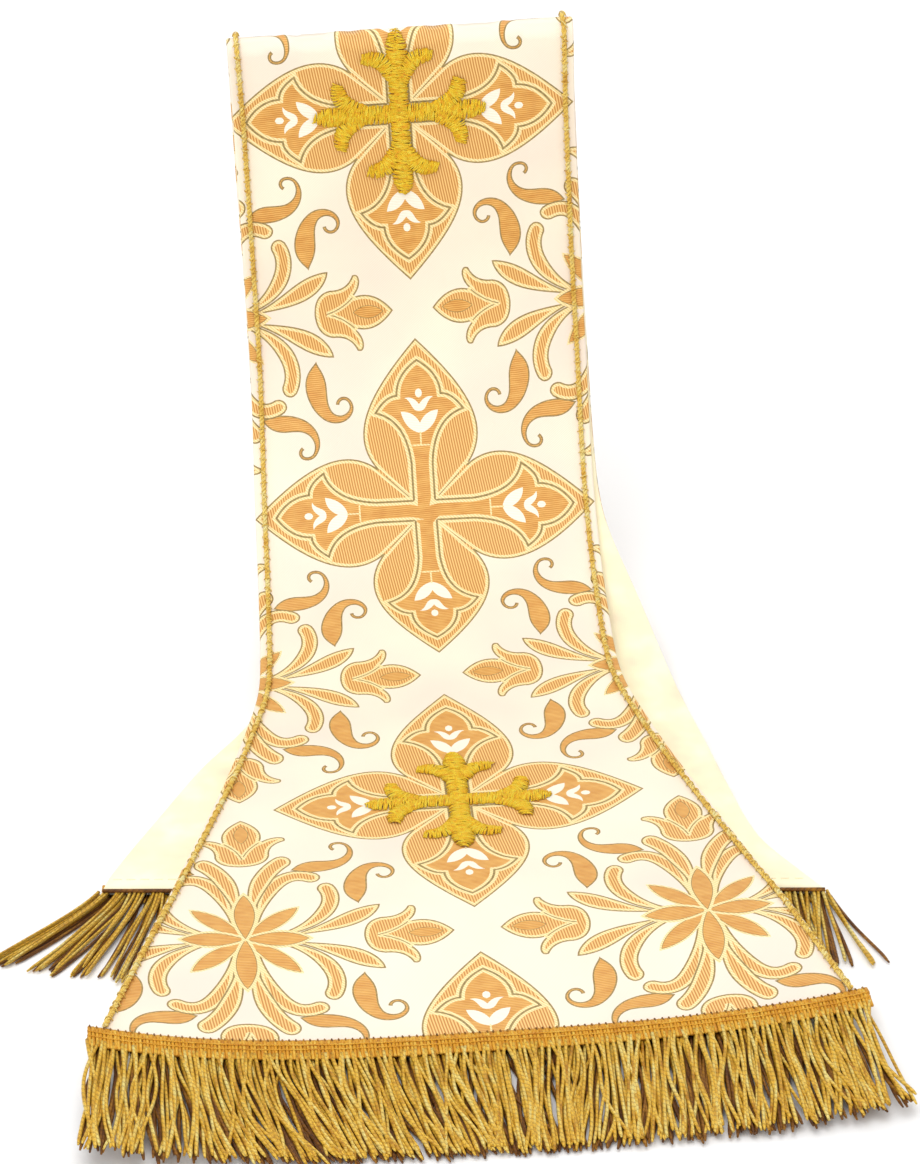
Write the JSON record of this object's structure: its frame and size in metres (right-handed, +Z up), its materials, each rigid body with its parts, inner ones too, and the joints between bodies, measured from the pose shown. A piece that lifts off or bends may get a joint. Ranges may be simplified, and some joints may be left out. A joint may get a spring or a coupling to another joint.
{
  "type": "maniple",
  "caption": "Lined brocade maniple, a vestment strip with spade-shaped fringed ends, folded double, its stem upright and its ends lying on the table.",
  "frame": {"origin": "centre of the footprint, on the table that the maniple lies on", "axes": "+Z up; -Y is the front, towards which both fringed ends point; +X to the right as seen from the front"},
  "size_m": [0.2198, 0.2962, 0.1746],
  "materials": {
    "brocade": "cream silk brocade with a woven tan and gold pattern, soft satin sheen",
    "lining": "plain cream lining, matt",
    "galloon": "twisted gold cord",
    "fringe_heading": "woven gold braid",
    "fringe": "twisted old-gold strands",
    "cross": "padded gold satin stitch"
  },
  "bodies": {
    "root": {"brocade": "brocade", "lining": "lining", "galloon_left": "galloon", "galloon_right": "galloon", "fringe_heading_front": "fringe_heading", "fringe_heading_back": "fringe_heading", "fringe_front": "fringe", "fringe_back": "fringe", "cross_middle": "cross", "cross_front": "cross", "cross_back": "cross"}
  },
  "joints": []
}
